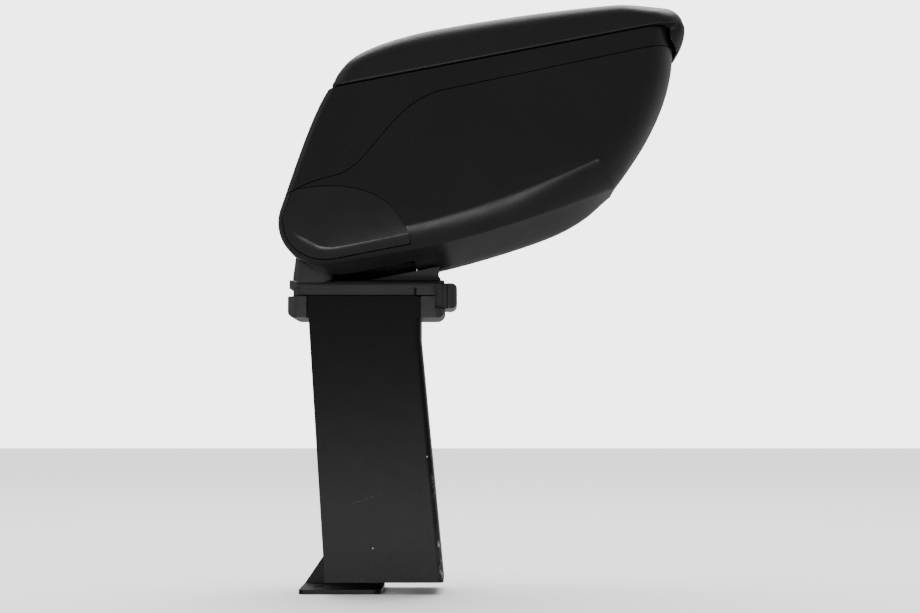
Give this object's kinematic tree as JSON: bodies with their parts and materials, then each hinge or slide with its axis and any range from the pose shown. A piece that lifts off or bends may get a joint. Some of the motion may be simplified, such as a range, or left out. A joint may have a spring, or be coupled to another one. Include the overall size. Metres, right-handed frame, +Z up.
{
  "type": "car centre armrest",
  "caption": "Black car centre armrest with a padded lid over a storage body that tilts on a plastic pedestal and a tall folded steel leg with a foot flange.",
  "frame": {"origin": "midway between the two foot bolt holes, on the underside of the foot flange", "axes": "+X forwards to the lid's nose, +Y across to the side that the foot's flare is on, +Z up"},
  "size_m": [0.3119, 0.132, 0.4475],
  "materials": {
    "leg_paint": "satin black powder coat with worn bends",
    "base_plastic": "finely grained black",
    "button_plastic": "satin black",
    "body_skin": "grained black with a soft sheen",
    "cap_plastic": "grained black, smoother than the body",
    "tray_plastic": "matt black",
    "bush_plastic": "natural",
    "rubber": "matt",
    "zinc": "bright",
    "lid_skin": "black artificial leather over foam, fine grain"
  },
  "bodies": {
    "base": {"leg_bracket": "leg_paint", "base_collar": "base_plastic", "collar_screws": "zinc", "base_housing": "base_plastic", "button_spring": "zinc", "pivot_bushes": "bush_plastic", "rest_pad": "rubber"},
    "button": {"release_button": "button_plastic"},
    "arm": {"lower_shell": "body_skin", "upper_shell": "body_skin", "pivot_bolt": "zinc", "pivot_washers": "zinc", "pivot_nut": "zinc", "near_pivot_cap": "cap_plastic", "far_pivot_cap": "cap_plastic", "storage_tray": "tray_plastic", "tray_screws": "zinc", "tray_mat": "rubber", "lid_buffers": "rubber", "lid_hinge_pin": "zinc"},
    "lid": {"lid_base": "tray_plastic", "lid_screws": "zinc", "lid_cover": "lid_skin"}
  },
  "joints": [
    {"name": "arm_tilt", "type": "hinge", "parent": "base", "child": "arm", "pos_m": [-0.0157, 0, 0.2794], "axis": [0, -1, 0], "range_deg": [0, 80]},
    {"name": "lid_hinge", "type": "hinge", "parent": "arm", "child": "lid", "pos_m": [-0.00209, 0, 0.38494], "axis": [0, -1, 0], "range_deg": [0, 70]},
    {"name": "button_push", "type": "slide", "parent": "base", "child": "button", "axis": [-1, 0, 0], "range_m": [0, 0.004], "stiffness_N_per_m": 400, "springref_m": -0.001, "deforming": ["button_spring"]}
  ]
}
